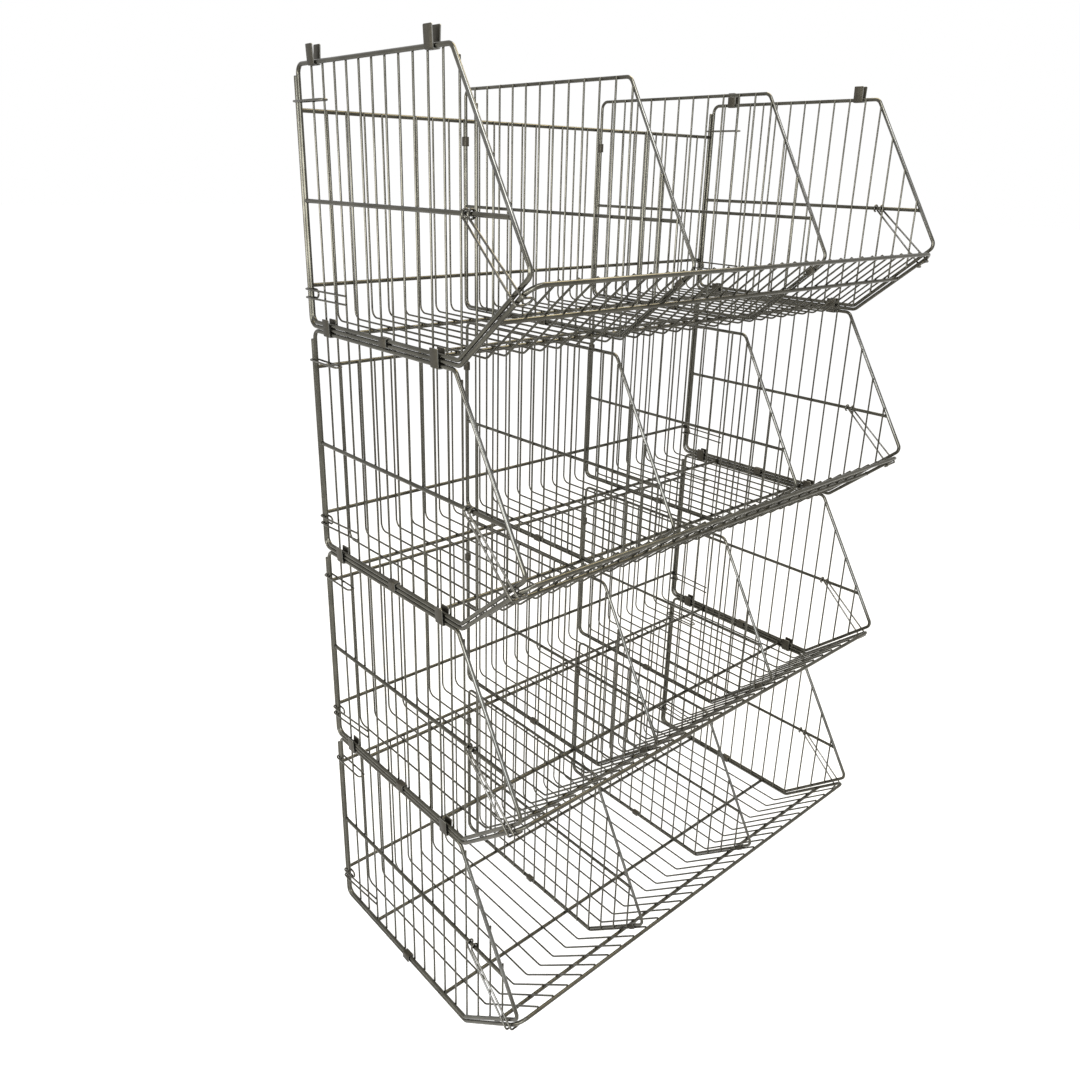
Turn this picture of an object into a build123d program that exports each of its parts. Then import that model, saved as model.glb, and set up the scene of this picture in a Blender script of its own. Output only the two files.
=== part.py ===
import os

from build123d import *

os.makedirs("parts", exist_ok=True)

# Driving dimensions, in millimetres. Every piece is drawn in the lowest basket,
# with y = 0 on the back wire of an end panel, the open front towards -Y and the ground at z = 0.
tier_count = 4
tier_pitch = 357.0       # ground of one basket to the ground of the next
panel_span = 894.0       # between the planes of the two end panels

# Wires and sheet
frame_wire = 6.0         # tray frame, cross wires of the mat, frames and middle wires of the end panels
divider_wire = 5.0       # frames and middle wires of the dividers
thin_wire = 3.0          # mat wires, upright wires, latches and hinge rings
clip_sheet = 1.5
weld_sink = 0.3          # two welded pieces sink into each other by this much
loose_gap = 0.5          # wires that pass each other unwelded
frame_sides = 8          # wire sections are drawn with few flat sides
thin_sides = 6

# Tray: one wire bent into two rear posts, two floor edges and the front lip
post_y = 7.0
post_top = 340.0
floor_z = frame_wire / 2
lip_bend = (-362.0, floor_z)
lip_front = (-491.0, 111.0)
post_bend_radius = 13.0
lip_bend_radius = 15.0
lip_corner_radius = 20.0

# Mat: bent wires welded on the inner side of the cross wires
mat_wire_count = 28
wire_spacing = 30.0
mat_bend_radius = 13.0
mat_tip = 1.0            # mat wires end this far past the middle of the last wire that they cross
back_cross_heights = (297.0, 61.0)
floor_cross_places = (-89.0, -297.0)
lip_cross_share = 0.57   # place of the lip's middle cross wire along the lip

# End panels
upright_count = 15
panel_floor_y = -359.5
panel_nose = (-492.0, 123.0)
panel_shoulder_y = -352.0
panel_middle_z = 179.0
panel_corner_radius = 12.0
stack_gap = 0.4          # top wire of a panel to the tray that stands on it

# Dividers, each standing on one mat wire
divider_places = (-165.0, 135.0)
divider_top_z = 342.0
divider_shoulder_y = -352.0
divider_nose_run = 165.0     # from the bend of the lip
divider_middle_z = 170.0
divider_play = 0.3

# Sheet clips: two stacking clips on top of each end panel, one locking clip on its floor edge
clip_width = 17.0
clip_gap = 8.0
stacking_clip_places = (-45.0, -315.0)
stacking_clip_depth = 24.2
stacking_clip_splay = 1.2
locking_clip_place = -195.0
locking_clip_depth = 11.5
divider_clip_width = 14.0
divider_clip_gap = 5.6
divider_clip_depth = 7.3
divider_clip_height = 267.0
divider_clip_floor_y = -195.0
divider_clip_lip_run = 134.0

# Hinges of an end panel on its post
hinge_ring_z = 308.0
hinge_ring_front = -66.0
hinge_pin_heights = (44.0, 56.0)
hinge_pin_row = 3            # the upright wire that holds its two ends
hinge_pin_end = 7.5
hinge_pin_front = -9.5
hinge_bend = 3.0

# Latch: two eyes on the panel's middle wire, two legs and a closed hook
latch_eye_places = (-375.0, -386.0)
latch_eye_radius = 5.1
latch_drop = 3.0
latch_leg_bend = 5.0
latch_foot_runs = (138.0, 153.0)     # from the bend of the lip
latch_foot_gap = 0.7         # between the legs and the frame wires that they pass
latch_hook_play = 0.7
latch_hook_reach = 17.0
latch_hook_bend = 3.0
round_share = 0.99           # radius of a rounded end, as a share of half its width

# Worked out from the values above
half_span = panel_span / 2
lip_vector = Vector(0, lip_front[0] - lip_bend[0], lip_front[1] - lip_bend[1])
lip_length = lip_vector.length
lip_along = lip_vector.normalized()
lip_inward = Vector(0, lip_along.Z, -lip_along.Y)
lip_start = Vector(0, *lip_bend)
mat_inset = frame_wire / 2 + thin_wire / 2 - weld_sink
divider_inset = mat_inset + thin_wire / 2 + divider_play + divider_wire / 2
panel_floor_z = floor_z + frame_wire + loose_gap
panel_top_z = tier_pitch - stack_gap - frame_wire / 2
upright_inset = frame_wire / 2 + thin_wire / 2 - weld_sink


def lip_point(run, inset):
    # Side view point on the lip: run from its bend towards the front, inset into the basket
    point = lip_start + lip_along * run + lip_inward * inset
    return (point.Y, point.Z)


def height_on(low_end, high_end, y):
    # Height of a slanted edge at y
    return low_end[1] + (high_end[1] - low_end[1]) * (y - low_end[0]) / (high_end[0] - low_end[0])


def wire_section(diameter, sides):
    # Its flat sides lie on the round wire's surface
    RegularPolygon(diameter / 2, sides, major_radius=False, rotation=180 / sides)


def sweep_wire(route, diameter, sides, flat_towards):
    start = Plane(origin=route @ 0, x_dir=flat_towards, z_dir=route % 0)
    with BuildSketch(start) as section:
        wire_section(diameter, sides)
    sweep(section.sketch, path=route)


def wire_panel(x, outline, diameter, middle_z, inner_side, latched):
    # A flat panel: a frame bent from one wire, a middle wire, and upright wires on its inner side.
    # The middle wire that latches turn on is drawn fully round.
    back_foot, floor_bend, nose, shoulder, back_head = outline
    upright_x = x + inner_side * (diameter / 2 + thin_wire / 2 - weld_sink)
    slant_share = (middle_z - nose[1]) / (shoulder[1] - nose[1])
    middle_front = nose[0] + slant_share * (shoulder[0] - nose[0])
    overlap = diameter / 3
    with BuildPart() as panel:
        with BuildLine(Plane.YZ.offset(x)) as frame_line:
            FilletPolyline(*outline, radius=panel_corner_radius, close=True)
        sweep_wire(frame_line.wire(), diameter, frame_sides, (1, 0, 0))
        with BuildSketch(Plane.XZ.offset(-back_foot[0])) as middle_section:
            with Locations((x, middle_z)):
                if latched:
                    Circle(diameter / 2)
                else:
                    wire_section(diameter, frame_sides)
        extrude(middle_section.sketch, amount=back_foot[0] - middle_front)
        for row in range(1, upright_count + 1):
            y = -row * wire_spacing
            foot = back_foot[1] if y > floor_bend[0] else height_on(floor_bend, nose, y)
            head = back_head[1] if y > shoulder[0] else height_on(nose, shoulder, y)
            with BuildSketch(Plane.XY.offset(foot - overlap)) as upright_section:
                with Locations((upright_x, y)):
                    wire_section(thin_wire, thin_sides)
            extrude(upright_section.sketch, amount=head - foot + 2 * overlap)
    return panel.part


def channel_clip(base, gap, depth, along, width, splay=0):
    # Folded sheet channel: the inside of its base is at base, and its two plates are depth long
    # and lean outwards by splay at their ends
    foot, mouth = gap / 2, gap / 2 + splay
    with BuildSketch(Plane(origin=base, x_dir=(1, 0, 0), z_dir=along)) as profile:
        with BuildLine():
            Polyline(
                (-mouth, depth),
                (-foot, 0),
                (foot, 0),
                (mouth, depth),
                (mouth + clip_sheet, depth),
                (foot + clip_sheet, -clip_sheet),
                (-foot - clip_sheet, -clip_sheet),
                (-mouth - clip_sheet, depth),
                close=True,
            )
        make_face()
        chamfer(profile.vertices().group_by(Axis.Y)[0], clip_sheet / 2)
    extrude(profile.sketch, amount=width / 2, both=True)


# Tray frame
with BuildPart() as tray_frame:
    with BuildLine() as tray_line:
        FilletPolyline(
            (-half_span, post_y, post_top),
            (-half_span, post_y, floor_z),
            (-half_span, *lip_bend),
            (-half_span, *lip_front),
            (half_span, *lip_front),
            (half_span, *lip_bend),
            (half_span, post_y, floor_z),
            (half_span, post_y, post_top),
            radius=[
                post_bend_radius, lip_bend_radius, lip_corner_radius,
                lip_corner_radius, lip_bend_radius, post_bend_radius,
            ],
        )
    sweep_wire(tray_line.wire(), frame_wire, frame_sides, (1, 0, 0))

# Mat of the tray: equal bent wires, welded on the inner side of the cross wires
with BuildPart() as mat_wire:
    with BuildLine(Plane.YZ) as mat_line:
        FilletPolyline(
            (post_y - mat_inset, back_cross_heights[0] + mat_tip),
            (post_y - mat_inset, floor_z + mat_inset),
            lip_point(mat_inset * (1 - lip_inward.Z) / lip_along.Z, mat_inset),
            lip_point(lip_length + mat_tip, mat_inset),
            radius=mat_bend_radius,
        )
    sweep_wire(mat_line.wire(), thin_wire, thin_sides, (0, 1, 0))
with BuildPart() as mat_wires:
    with GridLocations(wire_spacing, 0, mat_wire_count, 1):
        add(mat_wire.part)

# Cross wires of the mat, each butted between the two side wires of the tray frame
with BuildPart() as cross_wires:
    lip_cross = lip_point(lip_cross_share * lip_length, 0)
    cross_places = [(post_y, height) for height in back_cross_heights]
    cross_places += [(y, floor_z) for y in floor_cross_places]
    with BuildSketch(Plane.YZ) as cross_section:
        with Locations(*cross_places):
            wire_section(frame_wire, frame_sides)
        with Locations(Location(lip_cross, -lip_along.get_angle(Vector(0, -1, 0)))):
            wire_section(frame_wire, frame_sides)
    extrude(cross_section.sketch, amount=half_span - frame_wire / 2 + weld_sink, both=True)

# End panels
panel_outline = [
    (0, panel_floor_z),
    (panel_floor_y, panel_floor_z),
    panel_nose,
    (panel_shoulder_y, panel_top_z),
    (0, panel_top_z),
]
left_panel = wire_panel(-half_span, panel_outline, frame_wire, panel_middle_z, 1, latched=True)
with BuildPart() as right_panel:
    mirror(left_panel, about=Plane.YZ)

# Dividers, with their upright wires on the left
divider_back = post_y - divider_inset
divider_floor = floor_z + divider_inset
divider_outline = [
    (divider_back, divider_floor),
    lip_point(divider_inset * (1 - lip_inward.Z) / lip_along.Z, divider_inset),
    lip_point(divider_nose_run, divider_inset),
    (divider_shoulder_y, divider_top_z),
    (divider_back, divider_top_z),
]
dividers = [
    wire_panel(x, divider_outline, divider_wire, divider_middle_z, -1, latched=False)
    for x in divider_places
]

# Clips of the left end panel: stacking clips open upwards, the locking clip opens downwards
with BuildPart() as left_clips:
    for y in stacking_clip_places:
        stacking_base = (-half_span, y, panel_top_z - frame_wire / 2 + weld_sink)
        channel_clip(
            stacking_base, clip_gap, stacking_clip_depth, (0, -1, 0), clip_width, stacking_clip_splay
        )
    locking_base = (-half_span, locking_clip_place, panel_floor_z + frame_wire / 2 - weld_sink)
    channel_clip(locking_base, clip_gap, locking_clip_depth, (0, 1, 0), clip_width)
with BuildPart() as right_clips:
    mirror(left_clips.part, about=Plane.YZ)

# Clips of a divider: they straddle the mat wire that the divider stands on
divider_clips = []
clip_seat = divider_wire / 2 - weld_sink
for x in divider_places:
    with BuildPart() as clip_set:
        back_base = (x, divider_back - clip_seat, divider_clip_height)
        channel_clip(back_base, divider_clip_gap, divider_clip_depth, (0, 0, 1), divider_clip_width)
        floor_base = (x, divider_clip_floor_y, divider_floor + clip_seat)
        channel_clip(floor_base, divider_clip_gap, divider_clip_depth, (0, 1, 0), divider_clip_width)
        lip_base = (x, *lip_point(divider_clip_lip_run, divider_inset + clip_seat))
        channel_clip(lip_base, divider_clip_gap, divider_clip_depth, -lip_along, divider_clip_width)
    divider_clips.append(clip_set.part)

# Hinges of the left end panel: a closed ring above and a hairpin below, both round the post
ring_outer = -half_span - frame_wire / 2 - loose_gap - thin_wire / 2
ring_inner = -half_span + upright_inset + thin_wire - weld_sink
ring_radius = (ring_inner - ring_outer) / 2 * round_share
ring_back = post_y + ring_radius
pin_row_y = -hinge_pin_row * wire_spacing - thin_wire + weld_sink
pin_inner = -half_span + frame_wire / 2 + loose_gap + thin_wire / 2
pin_back = post_y + frame_wire / 2 + loose_gap + thin_wire / 2
pin_low, pin_high = hinge_pin_heights
pin_radius = (pin_inner - ring_outer) / 2 * round_share
pin_end_radius = (pin_high - pin_low) / 2 * round_share
pin_points = [
    (-half_span + hinge_pin_end, pin_row_y, pin_low),
    (ring_outer, pin_row_y, pin_low),
    (ring_outer, pin_back, pin_low),
    (pin_inner, pin_back, pin_low),
    (pin_inner, hinge_pin_front, pin_low),
]
pin_points += [(x, y, pin_high) for x, y, z in reversed(pin_points)]
with BuildPart() as left_hinge_rings:
    with BuildLine(Plane.XY.offset(hinge_ring_z)) as ring_line:
        FilletPolyline(
            (ring_outer, ring_back),
            (ring_outer, hinge_ring_front),
            (ring_inner, hinge_ring_front),
            (ring_inner, ring_back),
            radius=ring_radius,
            close=True,
        )
    sweep_wire(ring_line.wire(), thin_wire, thin_sides, (1, 0, 0))
    with BuildLine() as pin_line:
        FilletPolyline(
            *pin_points,
            radius=[
                hinge_bend, pin_radius, pin_radius, pin_end_radius,
                pin_end_radius, pin_radius, pin_radius, hinge_bend,
            ],
        )
    sweep_wire(pin_line.wire(), thin_wire, thin_sides, (0, 1, 0))
with BuildPart() as right_hinge_rings:
    mirror(left_hinge_rings.part, about=Plane.YZ)

# Latch of the left end panel: it hangs on the middle wire and hooks under the lip
knee_x = -half_span - latch_eye_radius
foot_x = -half_span - frame_wire / 2 - latch_foot_gap - thin_wire / 2
hook_inset = -(frame_wire / 2 + latch_hook_play + thin_wire / 2)


def latch_leg(eye_y, foot_run):
    # Points of one half of the latch, from the cut end of its eye to the end of its hook
    eye_low = panel_middle_z - latch_eye_radius
    eye_high = panel_middle_z + latch_eye_radius
    foot = lip_point(foot_run, hook_inset)
    return [
        Vector(-half_span, eye_y, eye_low),
        Vector(-half_span + latch_eye_radius, eye_y, eye_low),
        Vector(-half_span + latch_eye_radius, eye_y, eye_high),
        Vector(knee_x, eye_y, eye_high),
        Vector(knee_x, eye_y, panel_middle_z - latch_drop),
        Vector(foot_x, *foot),
        Vector(foot_x + latch_hook_reach, *foot),
    ]


rear_leg, front_leg = [latch_leg(*places) for places in zip(latch_eye_places, latch_foot_runs)]
eye_bend = latch_eye_radius * round_share
hook_end = (rear_leg[-1] - front_leg[-1]).length / 2 * round_share
leg_bends = [eye_bend, eye_bend, eye_bend, latch_leg_bend, latch_hook_bend, hook_end]
with BuildPart() as left_latch:
    with BuildLine() as latch_line:
        FilletPolyline(*rear_leg, *reversed(front_leg), radius=leg_bends + leg_bends[::-1])
    sweep_wire(latch_line.wire(), thin_wire, thin_sides, (0, 0, 1))
with BuildPart() as right_latch:
    mirror(left_latch.part, about=Plane.YZ)

# Every piece of one basket, by name
basket = {
    "tray_frame": tray_frame.part,
    "mat_wires": mat_wires.part,
    "cross_wires": cross_wires.part,
    "left_end_panel": left_panel,
    "right_end_panel": right_panel.part,
    "left_hinge_rings": left_hinge_rings.part,
    "right_hinge_rings": right_hinge_rings.part,
    "left_clips": left_clips.part,
    "right_clips": right_clips.part,
    "left_latch": left_latch.part,
    "right_latch": right_latch.part,
    "left_divider": dividers[0],
    "right_divider": dividers[1],
    "left_divider_clips": divider_clips[0],
    "right_divider_clips": divider_clips[1],
}

# The stack: the baskets one above the other, centred on the origin
depth_front = lip_front[0] - frame_wire / 2
depth_back = ring_back + thin_wire / 2
middle_y = (depth_front + depth_back) / 2
for tier in range(tier_count):
    for name, piece in basket.items():
        placed = piece.moved(Location((0, -middle_y, tier * tier_pitch)))
        placed.label = f"{name}_{tier + 1}"
        export_step(placed, f"parts/{placed.label}.step")
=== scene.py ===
import math

import bmesh
import bpy
from mathutils import Euler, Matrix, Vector


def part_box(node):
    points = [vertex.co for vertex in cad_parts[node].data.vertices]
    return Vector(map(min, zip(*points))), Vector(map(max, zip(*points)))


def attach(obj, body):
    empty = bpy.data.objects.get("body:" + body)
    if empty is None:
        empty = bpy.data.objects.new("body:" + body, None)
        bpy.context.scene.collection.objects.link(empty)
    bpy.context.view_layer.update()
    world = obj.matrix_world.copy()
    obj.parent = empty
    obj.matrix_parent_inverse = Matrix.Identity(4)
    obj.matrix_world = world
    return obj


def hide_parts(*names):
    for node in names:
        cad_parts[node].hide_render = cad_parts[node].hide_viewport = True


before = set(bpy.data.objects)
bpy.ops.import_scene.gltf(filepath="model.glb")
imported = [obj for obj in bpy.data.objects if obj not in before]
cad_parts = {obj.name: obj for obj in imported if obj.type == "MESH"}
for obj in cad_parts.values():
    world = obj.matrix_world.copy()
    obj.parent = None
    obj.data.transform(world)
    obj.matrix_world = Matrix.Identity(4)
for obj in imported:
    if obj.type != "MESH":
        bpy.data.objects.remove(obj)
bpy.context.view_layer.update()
scene = bpy.context.scene
mm = 0.001

# Sizes of the pieces are in millimetres, in the side view of one basket:
# y = 0 on the back wire of an end panel, the open front towards -y, the ground at z = 0
gauges = {
    "frame": 6.0, "divider": 5.0, "thin": 3.0, "sheet": 1.5,
    "sink": 0.3,     # how far a welded wire sinks into the other
    "gap": 0.5,      # free play round a wire
}
wireSpacing = 30.0
tierCount = 4
sides = {"left": -1, "right": 1}
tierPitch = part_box("tray_frame_2")[0].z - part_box("tray_frame_1")[0].z     # in metres
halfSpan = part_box("tray_frame_1")[1].x / mm - gauges["frame"] / 2
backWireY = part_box("left_end_panel_1")[1].y / mm - gauges["frame"] / 2


def rowPoint(point):
    # from the side view to metres in the shared frame
    return Vector((point[0], point[1] + backWireY, point[2])) * mm


def addNode(tree, kind, **settings):
    node = tree.nodes.new(kind)
    for key, value in settings.items():
        setattr(node, key, value)
    return node


def plug(tree, socket, value):
    # an output socket is linked, a plain value is set
    if isinstance(value, bpy.types.NodeSocket):
        tree.links.new(value, socket)
    else:
        socket.default_value = value


def feed(tree, node, **values):
    # inputs by name, with _ for a space
    for label, value in values.items():
        plug(tree, node.inputs[label.replace("_", " ")], value)
    return node


def maths(tree, operation, *values, kind="ShaderNodeMath"):
    node = addNode(tree, kind, operation=operation)
    for socket, value in zip(node.inputs, values):
        plug(tree, socket, value)
    return node.outputs[0]


# Finishes: zinc plated wire in several grades, dull folded sheet and its cut edges, painted brighter
# as bare cut metal and as a painted highlight, each with a dark and a light tone and a range of roughness
finishLooks = {
    "frame_wire": {"dark": (0.057, 0.054, 0.042), "light": (0.110, 0.105, 0.085), "rough": (0.18, 0.28)},
    "mesh_wire": {"dark": (0.050, 0.047, 0.036), "light": (0.100, 0.095, 0.075), "rough": (0.18, 0.28)},
    "panel_wire": {"dark": (0.057, 0.054, 0.042), "light": (0.110, 0.105, 0.085), "rough": (0.13, 0.20)},
    "divider_wire": {"dark": (0.059, 0.056, 0.044), "light": (0.114, 0.109, 0.089), "rough": (0.13, 0.20)},
    "bright_wire": {"dark": (0.063, 0.059, 0.047), "light": (0.121, 0.115, 0.096), "rough": (0.14, 0.24)},
    "clip_sheet": {"dark": (0.042, 0.038, 0.029), "light": (0.078, 0.071, 0.055), "rough": (0.40, 0.55)},
    # the cut edges are painted brighter than the sheet: partly bare cut metal, partly a painted highlight
    "cut_edge": {"dark": (0.160, 0.156, 0.140), "light": (0.300, 0.296, 0.276), "rough": (0.26, 0.38)},
}
zincPattern = {
    "blotchScale": 26.0,                     # plating blotches, about 40 mm
    "grainScale": 420.0,                     # fine crystal grain
    "grainShare": 0.15,                      # and how much it adds to the blotches
    "toneRange": (0.35, 0.80),               # pattern values at the dark and the light tone
    "streakScale": (700.0, 700.0, 22.0),     # drawing lines, fine round the wire and long on it
    "streakRange": (0.3, 0.7),               # pattern values at the least and the most roughness
    "bumpStrength": 0.06,
    "bumpHeight": 0.00003,
    "metallic": 0.9,
    "weldShade": 0.7,                        # weld nuggets beside the wire's dark tone
    "paintedHighlightDark": (0.135, 0.135, 0.129),     # painted highlight: the marked runs are painted plain silver in place of the shine they catch
    "paintedHighlightLight": (0.265, 0.266, 0.258),
}


def noise(tree, place, scale, detail, **settings):
    node = addNode(tree, "ShaderNodeTexNoise")
    return feed(tree, node, Vector=place, Scale=scale, Detail=detail, **settings).outputs["Fac"]


def surfaceMark(tree, name, output="Fac"):
    return addNode(tree, "ShaderNodeAttribute", attribute_name=name).outputs[output]


def toneRamp(tree, tone, dark, light):
    ramp = addNode(tree, "ShaderNodeValToRGB")
    stops = zip(ramp.color_ramp.elements, zincPattern["toneRange"], (dark, light))
    for element, position, colour in stops:
        element.position = position
        element.color = (*colour, 1)
    return feed(tree, ramp, Fac=tone).outputs["Color"]


def blendColours(tree, share, under, over):
    node = addNode(tree, "ShaderNodeMix", data_type="RGBA")
    return feed(tree, node, Factor=share, A=under, B=over).outputs["Result"]


def zincFinish(name, look):
    material = bpy.data.materials.new(name)
    material.use_nodes = True
    tree = material.node_tree
    place = addNode(tree, "ShaderNodeTexCoord").outputs["Object"]
    blotch = noise(tree, place, zincPattern["blotchScale"], detail=4.0, Roughness=0.6)
    grain = noise(tree, place, zincPattern["grainScale"], detail=2.0)
    stretch = feed(tree, addNode(tree, "ShaderNodeMapping"), Scale=zincPattern["streakScale"],
                   Vector=surfaceMark(tree, "alongWire", "Vector"))
    streak = noise(tree, stretch.outputs[0], scale=1.0, detail=3.0)

    tone = maths(tree, "MULTIPLY_ADD", grain, zincPattern["grainShare"], blotch)
    plated = toneRamp(tree, tone, look["dark"], look["light"])
    # painted highlight: the marked runs blend towards lighter silver in place of the shine they catch
    paintedHighlightTone = toneRamp(tree, tone, zincPattern["paintedHighlightDark"], zincPattern["paintedHighlightLight"])
    welded = (*[zincPattern["weldShade"] * part for part in look["dark"]], 1)
    colour = blendColours(tree, surfaceMark(tree, "polish"), plated, paintedHighlightTone)
    colour = blendColours(tree, surfaceMark(tree, "weld"), colour, welded)

    smoothest, roughest = look["rough"]
    low, high = zincPattern["streakRange"]
    rough = feed(tree, addNode(tree, "ShaderNodeMapRange"), Value=streak, From_Min=low, From_Max=high,
                 To_Min=smoothest, To_Max=roughest)
    bump = feed(tree, addNode(tree, "ShaderNodeBump"), Height=maths(tree, "ADD", streak, grain),
                Strength=zincPattern["bumpStrength"], Distance=zincPattern["bumpHeight"])
    feed(tree, tree.nodes["Principled BSDF"], Base_Color=colour, Roughness=rough.outputs["Result"],
         Normal=bump.outputs["Normal"], Metallic=zincPattern["metallic"])
    return material


finishes = {name: zincFinish(name, look) for name, look in finishLooks.items()}
print("finishes ready:", len(finishes))


# Wires: one tree turns a guide of edges and loose points into round wires and weld nuggets
wireTreeInputs = (
    ("Geometry", "NodeSocketGeometry", None),
    ("Sides", "NodeSocketInt", 12),
    ("Bend Steps", "NodeSocketInt", 8),
    ("Copies", "NodeSocketInt", 1),
    ("Step", "NodeSocketVector", (0, 0, 0)),
    ("Lift", "NodeSocketVector", (0, 0, 0)),
    ("Waver", "NodeSocketVector", (0, 0, 0)),
    ("Waver Scale", "NodeSocketFloat", 4.0),
    ("Seed", "NodeSocketInt", 7),
    ("Finish", "NodeSocketMaterial", None),
)
wireMaking = {
    "runStep": 45.0,                  # long straight runs get a point this often, so that they can bow
    "cutBevel": 0.25,                 # bevel of a cut wire end, as a share of its radius
    "copyShift": 2.3,                 # sets the bowing of one copy apart from the next
    "nuggetSpread": (0.85, 1.15),     # weld nuggets differ a little in size
    "nuggetFlatness": 0.45,
    "crispAngle": 0.65,               # edges that turn by more, in radians, are shaded as edges
}
guideMarks = ("bend", "gauge", "slack", "strand", "copy", "facing", "turn", "distance")


def readMark(tree, name, kind="FLOAT"):
    node = addNode(tree, "GeometryNodeInputNamedAttribute", data_type=kind)
    return feed(tree, node, Name=name).outputs[0]


def storeMark(tree, geometry, name, value, kind="FLOAT"):
    node = addNode(tree, "GeometryNodeStoreNamedAttribute", data_type=kind, domain="POINT")
    return feed(tree, node, Geometry=geometry, Name=name, Value=value).outputs[0]


def realized(tree, geometry):
    return feed(tree, addNode(tree, "GeometryNodeRealizeInstances"), Geometry=geometry).outputs[0]


def laidCopies(tree, given):
    # copies of the guide along a line
    line = feed(tree, addNode(tree, "GeometryNodeMeshLine", mode="OFFSET", count_mode="TOTAL"),
                Count=given["Copies"], Start_Location=given["Lift"], Offset=given["Step"])
    index = addNode(tree, "GeometryNodeInputIndex").outputs[0]
    copies = feed(tree, addNode(tree, "GeometryNodeInstanceOnPoints"), Instance=given["Geometry"],
                  Points=storeMark(tree, line.outputs[0], "copy", index))
    return realized(tree, copies.outputs[0])


def bowedGuide(tree, guide, given):
    # every loose wire bows a little, each in its own way
    ownCopy = maths(tree, "MULTIPLY", readMark(tree, "copy"), wireMaking["copyShift"])
    ownWave = maths(tree, "ADD", readMark(tree, "strand"), ownCopy)
    wave = feed(tree, addNode(tree, "ShaderNodeTexNoise", noise_dimensions="4D"), Detail=1.0,
                W=maths(tree, "ADD", ownWave, given["Seed"]), Scale=given["Waver Scale"])
    bow = maths(tree, "SUBTRACT", wave.outputs["Color"], (0.5, 0.5, 0.5), kind="ShaderNodeVectorMath")
    for reach in (given["Waver"], readMark(tree, "slack")):
        bow = maths(tree, "MULTIPLY", bow, reach, kind="ShaderNodeVectorMath")
    return feed(tree, addNode(tree, "GeometryNodeSetPosition"), Geometry=guide, Offset=bow).outputs[0]


def sweptWires(tree, guide, given):
    paths = feed(tree, addNode(tree, "GeometryNodeMeshToCurve"), Mesh=guide)
    rounded = feed(tree, addNode(tree, "GeometryNodeFilletCurve", mode="POLY"), Curve=paths.outputs[0],
                   Count=given["Bend Steps"], Radius=readMark(tree, "bend"), Limit_Radius=True)
    spline = addNode(tree, "GeometryNodeSplineParameter").outputs
    circle = feed(tree, addNode(tree, "GeometryNodeCurvePrimitiveCircle", mode="RADIUS"),
                  Resolution=given["Sides"], Radius=1.0)
    gauge = readMark(tree, "gauge")
    swept = feed(tree, addNode(tree, "GeometryNodeCurveToMesh"), Scale=gauge, Fill_Caps=True,
                 Curve=storeMark(tree, rounded.outputs[0], "distance", spline["Length"]),
                 Profile_Curve=storeMark(tree, circle.outputs["Curve"], "turn", spline["Factor"]))

    # where each point is round the wire and along it, for the drawing lines
    angle = maths(tree, "MULTIPLY", readMark(tree, "turn"), 2 * math.pi)
    along = feed(tree, addNode(tree, "ShaderNodeCombineXYZ"), Z=readMark(tree, "distance"),
                 X=maths(tree, "MULTIPLY", maths(tree, "COSINE", angle), gauge),
                 Y=maths(tree, "MULTIPLY", maths(tree, "SINE", angle), gauge))
    return storeMark(tree, swept.outputs[0], "alongWire", along.outputs[0], "FLOAT_VECTOR")


def weldNuggets(tree, points, given):
    ball = feed(tree, addNode(tree, "GeometryNodeMeshUVSphere"), Segments=8, Rings=5, Radius=1.0)
    facing = feed(tree, addNode(tree, "FunctionNodeAlignRotationToVector", axis="Z"),
                  Vector=readMark(tree, "facing", "FLOAT_VECTOR"))
    smallest, largest = wireMaking["nuggetSpread"]
    chance = feed(tree, addNode(tree, "FunctionNodeRandomValue", data_type="FLOAT"),
                  Min=smallest, Max=largest, Seed=given["Seed"])
    size = maths(tree, "MULTIPLY", chance.outputs["Value"], readMark(tree, "gauge"))
    flat = feed(tree, addNode(tree, "ShaderNodeCombineXYZ"), X=size, Y=size,
                Z=maths(tree, "MULTIPLY", size, wireMaking["nuggetFlatness"]))
    nuggets = feed(tree, addNode(tree, "GeometryNodeInstanceOnPoints"), Points=points,
                   Instance=ball.outputs[0], Rotation=facing.outputs[0], Scale=flat.outputs[0])
    return storeMark(tree, realized(tree, nuggets.outputs[0]), "weld", 1.0)


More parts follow.
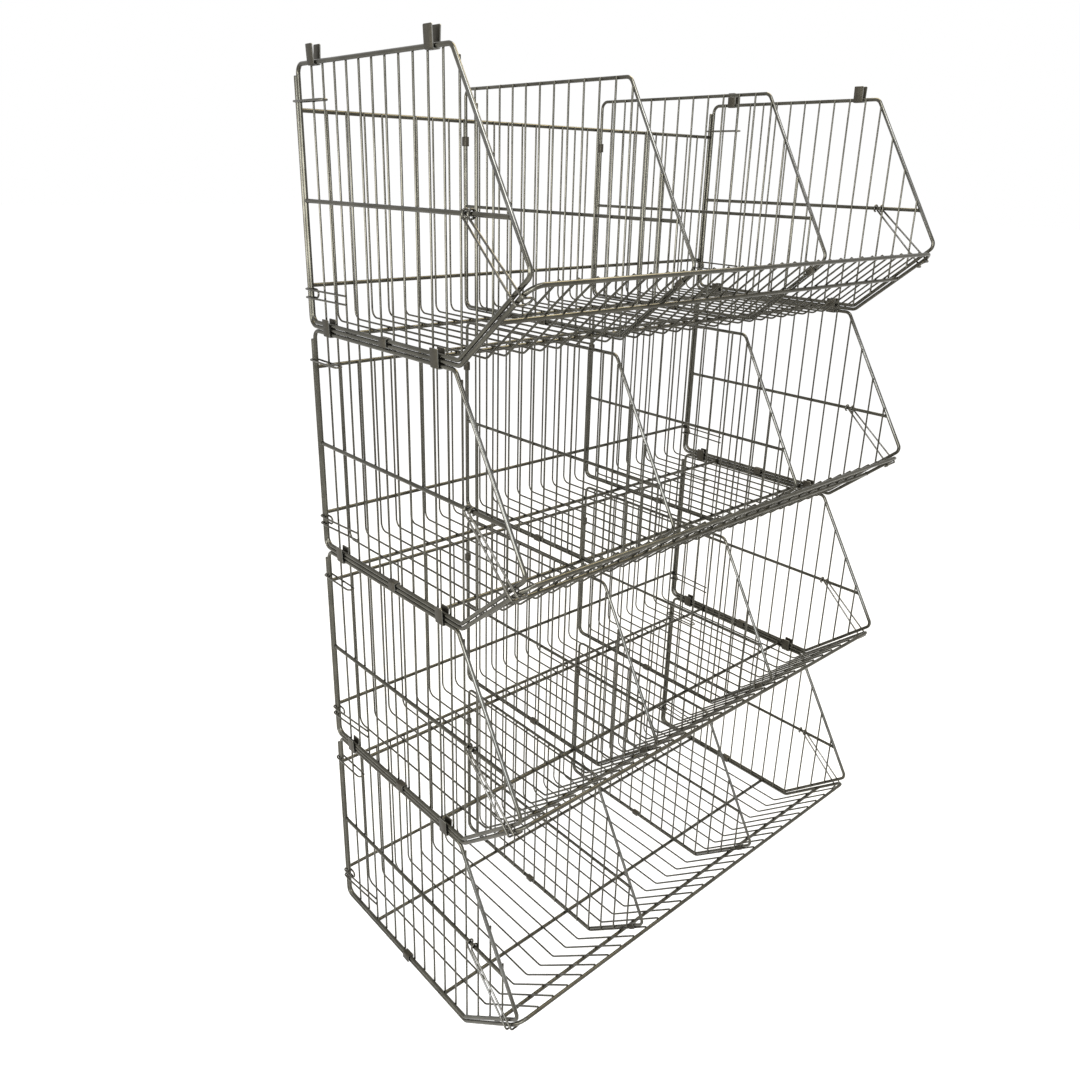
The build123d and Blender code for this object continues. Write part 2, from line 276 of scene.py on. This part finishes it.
def weldedWireTree():
    tree = bpy.data.node_groups.new("weldedWires", "GeometryNodeTree")
    for label, kind, start in wireTreeInputs:
        socket = tree.interface.new_socket(name=label, in_out="INPUT", socket_type=kind)
        if start is not None:
            socket.default_value = start
    tree.interface.new_socket(name="Geometry", in_out="OUTPUT", socket_type="NodeSocketGeometry")
    given = addNode(tree, "NodeGroupInput").outputs
    guide = bowedGuide(tree, laidCopies(tree, given), given)

    # loose points become weld nuggets, edges become wires
    neighbours = addNode(tree, "GeometryNodeInputMeshVertexNeighbors").outputs["Vertex Count"]
    loose = addNode(tree, "FunctionNodeCompare", data_type="INT", operation="EQUAL")
    split = feed(tree, addNode(tree, "GeometryNodeSeparateGeometry", domain="POINT"), Geometry=guide,
                 Selection=feed(tree, loose, A=neighbours, B=0).outputs[0])
    joined = addNode(tree, "GeometryNodeJoinGeometry")
    tree.links.new(sweptWires(tree, split.outputs["Inverted"], given), joined.inputs[0])
    tree.links.new(weldNuggets(tree, split.outputs["Selection"], given), joined.inputs[0])

    smooth = feed(tree, addNode(tree, "GeometryNodeSetShadeSmooth", domain="FACE"),
                  Geometry=joined.outputs[0], Shade_Smooth=True)
    edgeAngle = addNode(tree, "GeometryNodeInputMeshEdgeAngle").outputs["Unsigned Angle"]
    sharp = maths(tree, "GREATER_THAN", edgeAngle, wireMaking["crispAngle"])
    crisp = feed(tree, addNode(tree, "GeometryNodeSetShadeSmooth", domain="EDGE"),
                 Geometry=smooth.outputs[0], Selection=sharp, Shade_Smooth=False)
    finished = feed(tree, addNode(tree, "GeometryNodeSetMaterial"), Material=given["Finish"],
                    Geometry=realized(tree, crisp.outputs[0]))
    tree.links.new(finished.outputs[0], addNode(tree, "NodeGroupOutput").inputs[0])
    return tree


wireTree = weldedWireTree()
wireInputs = {item.name: item.identifier for item in wireTree.interface.items_tree
              if item.item_type == "SOCKET" and item.in_out == "INPUT"}


def wire(points, diameter, bends=0.0, closed=False, slack=0.0, paintedHighlightRuns=None):
    # slack lets the wire bow; the last argument gives how far each straight run is painted lighter silver,
    # a painted highlight
    points = [Vector(point) for point in points]
    if isinstance(bends, (int, float)):
        bends = [bends] * len(points) if closed else [0.0] + [bends] * (len(points) - 2) + [0.0]
    elif not closed:
        bends = [0.0, *bends, 0.0]
    return {"points": points, "radius": diameter / 2, "bends": bends, "closed": closed, "slack": slack,
            "paintedHighlightRuns": paintedHighlightRuns or {}}


def weld(point, facing, size, strand=0, slack=0.0):
    # strand is the wire that the nugget bows with
    return {"point": point, "facing": facing, "radius": size / 2, "strand": strand, "slack": slack}


def wirePath(item):
    # the wire's points with their bend, radius and share of painted highlight, longer runs divided and cut
    # ends bevelled
    points, bends, radius = item["points"], item["bends"], item["radius"]
    ends = list(zip(points, points[1:] + points[:1]))
    path = []
    for index, (start, stop) in enumerate(ends if item["closed"] else ends[:-1]):
        path.append((start, bends[index], radius, 0.0))
        parts = max(1, math.floor((stop - start).length / wireMaking["runStep"]))
        polish = item["paintedHighlightRuns"].get(index, 0.0)
        path += [(start.lerp(stop, part / parts), 0.0, radius, polish) for part in range(1, parts)]
    if not item["closed"]:
        bevel = wireMaking["cutBevel"] * radius
        first, last = path[0][0], points[-1]
        path[0] = (first, 0.0, radius - bevel, 0.0)
        path.insert(1, (first + (points[1] - first).normalized() * bevel, 0.0, radius, 0.0))
        path.append((last + (points[-2] - last).normalized() * bevel, 0.0, radius, 0.0))
        path.append((last, 0.0, radius - bevel, 0.0))
    return path


def guideMesh(name, wires, welds):
    # a wire becomes a chain of edges, a weld becomes a loose point
    corners, edges, facing = [], [], []
    marks = {"bend": [], "gauge": [], "slack": [], "strand": [], "polish": []}

    def addCorner(point, direction, **values):
        corners.append(rowPoint(point))
        facing.extend(direction)
        for mark, value in values.items():
            marks[mark].append(float(value))

    for strand, item in enumerate(wires):
        path = wirePath(item)
        start = len(corners)
        for point, bend, radius, polish in path:
            addCorner(point, (0, 0, 1), bend=bend * mm, gauge=radius * mm, slack=item["slack"],
                      strand=strand, polish=polish)
        edges += [(start + step, start + step + 1) for step in range(len(path) - 1)]
        if item["closed"]:
            edges.append((start + len(path) - 1, start))
    for spot in welds:
        addCorner(spot["point"], spot["facing"], bend=0.0, gauge=spot["radius"] * mm,
                  slack=spot["slack"], strand=spot["strand"], polish=0.0)
    mesh = bpy.data.meshes.new(name)
    mesh.from_pydata(corners, edges, [])
    for mark, values in marks.items():
        mesh.attributes.new(mark, "FLOAT", "POINT").data.foreach_set("value", values)
    mesh.attributes.new("facing", "FLOAT_VECTOR", "POINT").data.foreach_set("vector", facing)
    return mesh


def tierLift(tier):
    return Vector((0, 0, tierPitch * (tier - 1)))


def adopt(piece, body, node):
    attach(piece, body)
    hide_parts(node)


def newPiece(name, mesh):
    piece = bpy.data.objects.new(name, mesh)
    scene.collection.objects.link(piece)
    return piece


def keepResult(piece):
    # what the modifiers make becomes the piece's own plain mesh
    made = piece.evaluated_get(bpy.context.evaluated_depsgraph_get())
    mesh = bpy.data.meshes.new_from_object(made)
    start = piece.data
    piece.modifiers.clear()
    piece.data = mesh
    bpy.data.meshes.remove(start)
    mesh.name = piece.name
    return mesh


def wirePiece(name, wires, welds, tier, slot, **settings):
    piece = newPiece(name, guideMesh(name, wires, welds))
    maker = piece.modifiers.new("weldedWires", "NODES")
    maker.node_group = wireTree
    settings = {"Lift": tierLift(tier), "Finish": finishes[slot], **settings}
    for label, value in settings.items():
        maker[wireInputs[label]] = value
    mesh = keepResult(piece)
    for mark in guideMarks:
        if mark in mesh.attributes:
            mesh.attributes.remove(mesh.attributes[mark])
    return piece


# Tray: one wire bent into two posts, two floor edges and the front lip
tray = {
    "postY": 7.0, "postTop": 340.0, "floorZ": 3.0, "lipBend": (-362.0, 3.0), "lipFront": (-491.0, 111.0),
    "postRadius": 13.0, "bendRadius": 15.0, "cornerRadius": 20.0, "sides": 16,
}
lipStart = Vector((0, *tray["lipBend"]))
lipRun = Vector((0, *tray["lipFront"])) - lipStart
lipLength = lipRun.length
lipAlong = lipRun.normalized()
lipInward = Vector((0, lipAlong.z, -lipAlong.y))


def lipPoint(run, inset):
    point = lipStart + lipAlong * run + lipInward * inset
    return point.y, point.z


def trayFrame(tier):
    x, postY, floorZ = halfSpan, tray["postY"], tray["floorZ"]
    half = [(postY, tray["postTop"]), (postY, floorZ), tray["lipBend"], tray["lipFront"]]
    bends = [tray["postRadius"], tray["bendRadius"], tray["cornerRadius"]]
    points = [(-x, *point) for point in half] + [(x, *point) for point in reversed(half)]
    run = wire(points, gauges["frame"], bends + bends[::-1])
    piece = wirePiece(f"trayFrame_{tier}", [run], [], tier, "frame_wire", Sides=tray["sides"])
    adopt(piece, f"basket_{tier}", f"tray_frame_{tier}")


# Mat: equal bent wires, welded on the inner side of the cross wires
mat = {
    "count": 28, "bendRadius": 13.0, "tip": 1.0, "waver": 1.2, "weldSize": 4.6,
    "backHeights": (297.0, 61.0), "floorPlaces": (-89.0, -297.0),     # of the cross wires
    "lipShare": 0.57, "buttSize": 7.2, "crossSides": 16,              # theirs too
}
matInset = gauges["frame"] / 2 + gauges["thin"] / 2 - gauges["sink"]


def insetCorner(inset):
    # where a line at this inset turns from the floor to the lip
    return lipPoint(inset * (1 - lipInward.z) / lipAlong.z, inset)


def matWires(tier):
    firstX = -(mat["count"] - 1) / 2 * wireSpacing
    backY, floorZ = tray["postY"] - matInset, tray["floorZ"] + matInset
    points = [
        (backY, mat["backHeights"][0] + mat["tip"]),
        (backY, floorZ),
        insetCorner(matInset),
        lipPoint(lipLength + mat["tip"], matInset),
    ]
    run = wire([(firstX, *point) for point in points], gauges["thin"], mat["bendRadius"], slack=1.0)
    touch = matInset - gauges["thin"] / 2
    spots = [((tray["postY"] - touch, height), (0, 1, 0)) for height in mat["backHeights"]]
    spots += [((y, tray["floorZ"] + touch), (0, 0, 1)) for y in mat["floorPlaces"]]
    spots += [(lipPoint(share * lipLength, touch), lipInward) for share in (mat["lipShare"], 1.0)]
    welds = [weld((firstX, *spot), facing, mat["weldSize"], slack=1.0) for spot, facing in spots]
    piece = wirePiece(f"matWires_{tier}", [run], welds, tier, "mesh_wire", Copies=mat["count"],
                      Step=Vector((wireSpacing * mm, 0, 0)), Waver=Vector((mat["waver"] * mm, 0, 0)))
    adopt(piece, f"basket_{tier}", f"mat_wires_{tier}")


def crossWires(tier):
    places = [(tray["postY"], height) for height in mat["backHeights"]]
    places += [(y, tray["floorZ"]) for y in mat["floorPlaces"]]
    places.append(lipPoint(mat["lipShare"] * lipLength, 0.0))
    reach = halfSpan - gauges["frame"] / 2
    end = reach + gauges["sink"]
    wires = [wire([(-end, *place), (end, *place)], gauges["frame"]) for place in places]
    welds = [weld((sign * reach, *place), (1, 0, 0), mat["buttSize"])
             for place in places for sign in sides.values()]
    piece = wirePiece(f"crossWires_{tier}", wires, welds, tier, "mesh_wire", Sides=mat["crossSides"])
    adopt(piece, f"basket_{tier}", f"cross_wires_{tier}")


# Flat panels: a bent frame, a middle wire and upright wires on one face
panel = {
    "uprights": 15, "floorY": -359.5, "nose": (-492.0, 123.0), "shoulderY": -352.0, "middleZ": 179.0,
    "corner": 12.0, "stackGap": 0.4, "waver": 1.2, "weldSize": 4.6, "buttShare": 1.2,
    "paintedHighlightRuns": {2: 0.45},     # painted highlight: how far the slanting front edge is painted lighter silver
}
panelFloorZ = tray["floorZ"] + gauges["frame"] + gauges["gap"]
panelTopZ = tierPitch / mm - panel["stackGap"] - gauges["frame"] / 2
endOutline = [
    (0, panelFloorZ),
    (panel["floorY"], panelFloorZ),
    panel["nose"],
    (panel["shoulderY"], panelTopZ),
    (0, panelTopZ),
]


def heightOn(low, high, y):
    return low[1] + (high[1] - low[1]) * (y - low[0]) / (high[0] - low[0])


def panelPiece(name, tier, x, outline, diameter, middleZ, inner, slot):
    # inner says on which side, along x, the uprights lie
    backFoot, floorBend, nose, shoulder, backHead = outline
    uprightX = x + inner * (diameter / 2 + gauges["thin"] / 2 - gauges["sink"])
    touchX = x + inner * diameter / 2
    slantShare = (middleZ - nose[1]) / (shoulder[1] - nose[1])
    middleFront = nose[0] + slantShare * (shoulder[0] - nose[0])
    overlap = diameter / 3     # of an upright's end past the middle of the frame wire
    wires = [
        wire([(x, *point) for point in outline], diameter, panel["corner"], closed=True,
             paintedHighlightRuns=panel["paintedHighlightRuns"]),
        wire([(x, backFoot[0], middleZ), (x, middleFront, middleZ)], diameter),
    ]
    butts = (backFoot[0] - diameter / 2, middleFront + diameter / 2)
    welds = [weld((x, y, middleZ), (0, 1, 0), panel["buttShare"] * diameter) for y in butts]
    for row in range(1, panel["uprights"] + 1):
        y = -row * wireSpacing
        foot = backFoot[1] if y > floorBend[0] else heightOn(floorBend, nose, y)
        head = backHead[1] if y > shoulder[0] else heightOn(nose, shoulder, y)
        spots = [foot, head] + ([middleZ] if foot < middleZ < head else [])
        welds += [weld((touchX, y, z), (1, 0, 0), panel["weldSize"], len(wires), 1.0) for z in spots]
        ends = [(uprightX, y, foot - overlap), (uprightX, y, head + overlap)]
        wires.append(wire(ends, gauges["thin"], slack=1.0))
    return wirePiece(name, wires, welds, tier, slot, Waver=Vector((0, panel["waver"] * mm, 0)))


def endPanels(tier):
    for side, sign in sides.items():
        piece = panelPiece(f"{side}EndPanel_{tier}", tier, sign * halfSpan, endOutline, gauges["frame"],
                           panel["middleZ"], -sign, "panel_wire")
        adopt(piece, f"basket_{tier}", f"{side}_end_panel_{tier}")


# Dividers stand on one mat wire each, with their upright wires on the left
divider = {
    "places": {"left": -165.0, "right": 135.0}, "topZ": 342.0, "shoulderY": -352.0, "noseRun": 165.0,
    "middleZ": 170.0, "play": 0.3,
}
dividerInset = matInset + gauges["thin"] / 2 + divider["play"] + gauges["divider"] / 2
dividerBack = tray["postY"] - dividerInset
dividerFloor = tray["floorZ"] + dividerInset
dividerOutline = [
    (dividerBack, dividerFloor),
    insetCorner(dividerInset),
    lipPoint(divider["noseRun"], dividerInset),
    (divider["shoulderY"], divider["topZ"]),
    (dividerBack, divider["topZ"]),
]


def dividers(tier):
    for side, x in divider["places"].items():
        piece = panelPiece(f"{side}Divider_{tier}", tier, x, dividerOutline, gauges["divider"],
                           divider["middleZ"], -1, "divider_wire")
        adopt(piece, f"{side}_divider_{tier}", f"{side}_divider_{tier}")


# Hinge wires: a closed ring above and a hairpin below hold an end panel on its post
hinge = {
    "ringZ": 308.0, "ringFront": -66.0, "ringRows": (1, 2), "pinHeights": (44.0, 56.0), "pinRow": 3,
    "pinEnd": 2.7, "pinTurn": -6.0, "pinFront": -9.5, "bend": 25.0, "roundShare": 0.99, "weldSize": 4.2,
}


def hingeRings(tier):
    thin, sink = gauges["thin"], gauges["sink"]
    uprightInset = gauges["frame"] / 2 + thin / 2 - sink
    outer = gauges["frame"] / 2 + gauges["gap"] + thin / 2
    ringInner = uprightInset + thin - sink
    ringRadius = (ringInner + outer) / 2 * hinge["roundShare"]
    ringBack = tray["postY"] + ringRadius
    pinBack = tray["postY"] + outer
    pinRowY = -hinge["pinRow"] * wireSpacing
    low, high = hinge["pinHeights"]
    pinRadius = outer * hinge["roundShare"]
    endRadius = (high - low) / 2 * hinge["roundShare"]
    for side, sign in sides.items():
        plane = sign * halfSpan
        ring = [
            (plane + sign * outer, ringBack),
            (plane + sign * outer, hinge["ringFront"]),
            (plane - sign * ringInner, hinge["ringFront"]),
            (plane - sign * ringInner, ringBack),
        ]
        half = [
            (plane - sign * (uprightInset - thin + sink), pinRowY - hinge["pinEnd"]),
            (plane + sign * outer, hinge["pinTurn"]),
            (plane + sign * outer, pinBack),
            (plane - sign * outer, pinBack),
            (plane - sign * outer, hinge["pinFront"]),
        ]
        bends = [hinge["bend"], pinRadius, pinRadius, endRadius]
        pin = [(*point, low) for point in half] + [(*point, high) for point in reversed(half)]
        wires = [
            wire([(*point, hinge["ringZ"]) for point in ring], thin, ringRadius, closed=True),
            wire(pin, thin, bends + bends[::-1]),
        ]
        ringTouch = plane - sign * (uprightInset + thin / 2)
        pinTouch = plane - sign * (uprightInset - thin / 2)
        spots = [(ringTouch, -row * wireSpacing, hinge["ringZ"]) for row in hinge["ringRows"]]
        spots += [(pinTouch, pinRowY, z) for z in (low, high)]
        welds = [weld(spot, (1, 0, 0), hinge["weldSize"]) for spot in spots]
        piece = wirePiece(f"{side}HingeRings_{tier}", wires, welds, tier, "bright_wire")
        adopt(piece, f"basket_{tier}", f"{side}_hinge_rings_{tier}")


# Latches: two eyes on the panel's middle wire, two legs and a closed hook under the lip
latch = {
    "eyePlaces": (-375.0, -386.0), "eyeRadius": 5.1, "drop": 3.0, "legBend": 5.0,
    "footRuns": (138.0, 153.0), "footGap": 0.7, "hookPlay": 0.7, "hookReach": 17.0, "hookBend": 3.0,
    "roundShare": 0.99,             # bends just short of the most that fits
    "paintedHighlightRuns": {4: 0.5, 8: 0.5},     # painted highlight: how far the two legs are painted lighter silver
}


def latchLeg(eyeY, footRun, sign):
    # one half of the latch, from the cut end of its eye to the end of its hook
    radius, middleZ = latch["eyeRadius"], panel["middleZ"]
    eyeX = sign * halfSpan
    kneeX = eyeX + sign * radius
    footX = sign * (halfSpan + gauges["frame"] / 2 + latch["footGap"] + gauges["thin"] / 2)
    foot = lipPoint(footRun, -(gauges["frame"] / 2 + latch["hookPlay"] + gauges["thin"] / 2))
    return [
        Vector((eyeX, eyeY, middleZ - radius)),
        Vector((eyeX - sign * radius, eyeY, middleZ - radius)),
        Vector((eyeX - sign * radius, eyeY, middleZ + radius)),
        Vector((kneeX, eyeY, middleZ + radius)),
        Vector((kneeX, eyeY, middleZ - latch["drop"])),
        Vector((footX, *foot)),
        Vector((footX - sign * latch["hookReach"], *foot)),
    ]


def latches(tier):
    for side, sign in sides.items():
        rear, front = [latchLeg(*places, sign) for places in zip(latch["eyePlaces"], latch["footRuns"])]
        eyeBend = latch["eyeRadius"] * latch["roundShare"]
        hookEnd = (rear[-1] - front[-1]).length / 2 * latch["roundShare"]
        bends = [eyeBend, eyeBend, eyeBend, latch["legBend"], latch["hookBend"], hookEnd]
        run = wire([*rear, *reversed(front)], gauges["thin"], bends + bends[::-1],
                   paintedHighlightRuns=latch["paintedHighlightRuns"])
        piece = wirePiece(f"{side}Latch_{tier}", [run], [], tier, "bright_wire")
        adopt(piece, f"{side}_latch_{tier}", f"{side}_latch_{tier}")


# Sheet clips: folded channels with bevelled cut edges, painted brighter as bare metal and as a painted
# highlight
clip = {
    "width": 17.0, "gap": 8.0, "stackPlaces": (-45.0, -315.0), "stackDepth": 24.2, "splay": 1.2,
    "lockPlace": -195.0, "lockDepth": 11.5, "foldRadius": 1.7, "foldSteps": 4, "cornerRadius": 1.6,
    "cornerSteps": 3, "edgeBevel": 0.22, "bevelSteps": 2, "bevelAngle": 50, "crispAngle": 38,
}
dividerClip = {
    "width": 14.0, "gap": 5.6, "depth": 7.3, "backHeight": 267.0, "floorY": -195.0, "lipRun": 134.0,
}


def clipStations(width, gap, depth, splay):
    # across one half of the folded strip: place from the middle, depth, half width
    wall, base = gap / 2 + gauges["sheet"] / 2, -gauges["sheet"] / 2
    fold, corner, wide = clip["foldRadius"], clip["cornerRadius"], width / 2
    stations = []
    for step in range(clip["foldSteps"] + 1):
        turn = math.pi / 2 * step / clip["foldSteps"]
        stations.append((wall - fold + fold * math.sin(turn), base + fold - fold * math.cos(turn), wide))
    for step in range(clip["cornerSteps"] + 1):
        turn = math.pi / 2 * step / clip["cornerSteps"]
        high = depth - corner + corner * math.sin(turn)
        stations.append((wall + splay * high / depth, high, wide - corner + corner * math.cos(turn)))
    return stations


def addChannel(shape, tier, base, along, width, gap, depth, splay=0.0):
    # base is the inside of the channel's floor, and it opens towards the cross product of along and X
    along = Vector(along).normalized()
    across = Vector((1, 0, 0))
    outward = along.cross(across)
    half = clipStations(width, gap, depth, splay)
    strip = [(-place, high, wide) for place, high, wide in reversed(half)] + half
    rows = []
    for place, high, wide in strip:
        middle = Vector(base) + across * place + outward * high
        ends = [rowPoint(middle + along * end) + tierLift(tier) for end in (-wide, wide)]
        rows.append([shape.verts.new(end) for end in ends])
    for (a, b), (c, d) in zip(rows, rows[1:]):
        shape.faces.new((a, b, d, c))


def clipPiece(name, channels, tier):
    shape = bmesh.new()
    for channel in channels:
        addChannel(shape, tier, *channel)
    bmesh.ops.recalc_face_normals(shape, faces=shape.faces)
    strip = bpy.data.meshes.new(name + ".strip")
    shape.to_mesh(strip)
    shape.free()
    for finish in ("clip_sheet", "cut_edge"):
        strip.materials.append(finishes[finish])
    piece = newPiece(name, strip)
    thick = piece.modifiers.new("sheet", "SOLIDIFY")
    thick.thickness = gauges["sheet"] * mm
    thick.offset = 0.0
    thick.use_even_offset = True
    # the rims take the cut edge finish, partly a painted highlight
    thick.material_offset_rim = 1
    edge = piece.modifiers.new("edges", "BEVEL")
    edge.width = clip["edgeBevel"] * mm
    edge.segments = clip["bevelSteps"]
    edge.limit_method = "ANGLE"
    edge.angle_limit = math.radians(clip["bevelAngle"])
    mesh = keepResult(piece)
    mesh.shade_smooth()
    mesh.set_sharp_from_angle(angle=math.radians(clip["crispAngle"]))
    return piece


def panelClips(tier):
    stackBase = panelTopZ - gauges["frame"] / 2 + gauges["sink"]
    lockBase = panelFloorZ + gauges["frame"] / 2 - gauges["sink"]
    stackSize = (clip["width"], clip["gap"], clip["stackDepth"], clip["splay"])
    lockSize = (clip["width"], clip["gap"], clip["lockDepth"])
    for side, sign in sides.items():
        x = sign * halfSpan
        channels = [((x, y, stackBase), (0, -1, 0), *stackSize) for y in clip["stackPlaces"]]
        channels.append(((x, clip["lockPlace"], lockBase), (0, 1, 0), *lockSize))
        piece = clipPiece(f"{side}Clips_{tier}", channels, tier)
        adopt(piece, f"basket_{tier}", f"{side}_clips_{tier}")


def dividerClips(tier):
    seat = gauges["divider"] / 2 - gauges["sink"]
    lipBase = lipPoint(dividerClip["lipRun"], dividerInset + seat)
    size = (dividerClip["width"], dividerClip["gap"], dividerClip["depth"])
    for side, x in divider["places"].items():
        places = [
            ((x, dividerBack - seat, dividerClip["backHeight"]), (0, 0, 1)),
            ((x, dividerClip["floorY"], dividerFloor + seat), (0, 1, 0)),
            ((x, *lipBase), -lipAlong),
        ]
        piece = clipPiece(f"{side}DividerClips_{tier}", [(*place, *size) for place in places], tier)
        adopt(piece, f"{side}_divider_{tier}", f"{side}_divider_clips_{tier}")


basketMakers = (
    trayFrame, matWires, crossWires, endPanels, hingeRings, panelClips, latches, dividers, dividerClips,
)
for tier in range(1, tierCount + 1):
    for makePieces in basketMakers:
        makePieces(tier)
    print("basket", tier, "of", tierCount, "made")


# Stage, in metres: pale floor, white background, soft lamps and the photograph's camera
stage = {
    "floorSize": 60.0, "floorDrop": 0.0005, "floorTone": 0.55, "floorRough": 0.9,
    "floorGlow": 0.86,     # the floor's own white, for the rays that see the background
    "fill": 0.20,          # the background's strength for all other rays
}
white = (1, 1, 1, 1)
lamps = {
    "sky": {
        "kind": "SUN", "from": (-0.35, -0.75, 1.0), "spread": 14.0,
        "power": 0.5, "tint": (1.0, 1.0, 1.0),
    },
    "window": {
        "kind": "AREA", "place": (-2.6, -0.1, 1.15), "aim": (0.0, -0.1, 1.15), "size": (2.6, 0.5),
        "power": 34.0, "tint": (1.0, 0.99, 0.95),
    },
    "door": {
        "kind": "AREA", "place": (-2.2, -1.8, 1.5), "aim": (-0.4, -0.2, 0.8), "size": (1.0, 1.7),
        "power": 54.0, "tint": (0.90, 0.95, 1.0),
    },
    "ceiling": {
        "kind": "AREA", "place": (-0.5, -1.1, 3.0), "aim": (-0.4, -0.2, 1.3), "size": (1.0, 0.7),
        "power": 17.0, "tint": (0.94, 0.97, 1.0),
    },
    "warm": {
        "kind": "AREA", "place": (1.0, 0.1, 2.85), "aim": (0.1, -0.1, 0.8), "size": (1.2, 1.3),
        "power": 37.0, "tint": (1.0, 0.86, 0.56),
    },
}
shot = {
    "place": (-1.0957, -0.9988, 1.2965), "turn": (69.4753, -1.3372, -41.4467), "lens": 30.191,
    "sensor": 36.0, "shift": (-0.00204, -0.0272),
}


def seenRays(tree):
    # 1 for the camera, glossy and transmission rays, which see the white background
    rays = addNode(tree, "ShaderNodeLightPath").outputs
    seen = maths(tree, "ADD", rays["Is Camera Ray"], rays["Is Glossy Ray"])
    seen = maths(tree, "ADD", seen, rays["Is Transmission Ray"])
    return maths(tree, "MINIMUM", seen, 1.0)


def whiteWorld():
    world = bpy.data.worlds.new("studio")
    scene.world = world
    world.use_nodes = True
    tree = world.node_tree
    lit = maths(tree, "MULTIPLY", seenRays(tree), 1.0 - stage["fill"])
    feed(tree, tree.nodes["Background"], Color=white, Strength=maths(tree, "ADD", lit, stage["fill"]))


def paleFloor():
    shape = bmesh.new()
    bmesh.ops.create_grid(shape, x_segments=1, y_segments=1, size=stage["floorSize"] / 2)
    mesh = bpy.data.meshes.new("floor")
    shape.to_mesh(mesh)
    shape.free()
    floor = bpy.data.objects.new("floor", mesh)
    floor.location.z = -stage["floorDrop"]
    scene.collection.objects.link(floor)
    material = bpy.data.materials.new("paleFloor")
    material.use_nodes = True
    tree = material.node_tree
    glow = maths(tree, "MULTIPLY", seenRays(tree), stage["floorGlow"])
    feed(tree, tree.nodes["Principled BSDF"], Base_Color=(*[stage["floorTone"]] * 3, 1),
         Roughness=stage["floorRough"], Specular_IOR_Level=0.0,
         Emission_Color=white, Emission_Strength=glow)
    mesh.materials.append(material)


def softLamps():
    for name, lamp in lamps.items():
        light = bpy.data.lights.new(name, lamp["kind"])
        light.energy = lamp["power"]
        light.color = lamp["tint"]
        holder = bpy.data.objects.new(name, light)
        if lamp["kind"] == "SUN":
            light.angle = math.radians(lamp["spread"])
            aim = -Vector(lamp["from"])
        else:
            light.shape = "RECTANGLE"
            light.size, light.size_y = lamp["size"]
            holder.location = lamp["place"]
            aim = Vector(lamp["aim"]) - Vector(lamp["place"])
        holder.rotation_euler = aim.to_track_quat("-Z", "Y").to_euler()
        holder.visible_camera = False
        scene.collection.objects.link(holder)


def photoCamera():
    data = bpy.data.cameras.new("photoCamera")
    data.sensor_width = shot["sensor"]
    data.lens = shot["lens"]
    data.shift_x, data.shift_y = shot["shift"]
    camera = bpy.data.objects.new("photoCamera", data)
    camera.location = shot["place"]
    camera.rotation_euler = Euler([math.radians(part) for part in shot["turn"]])
    scene.collection.objects.link(camera)
    scene.camera = camera


whiteWorld()
paleFloor()
softLamps()
photoCamera()
scene.view_settings.view_transform = "Standard"
print("stage, lamps and camera set")

bpy.context.view_layer.update()
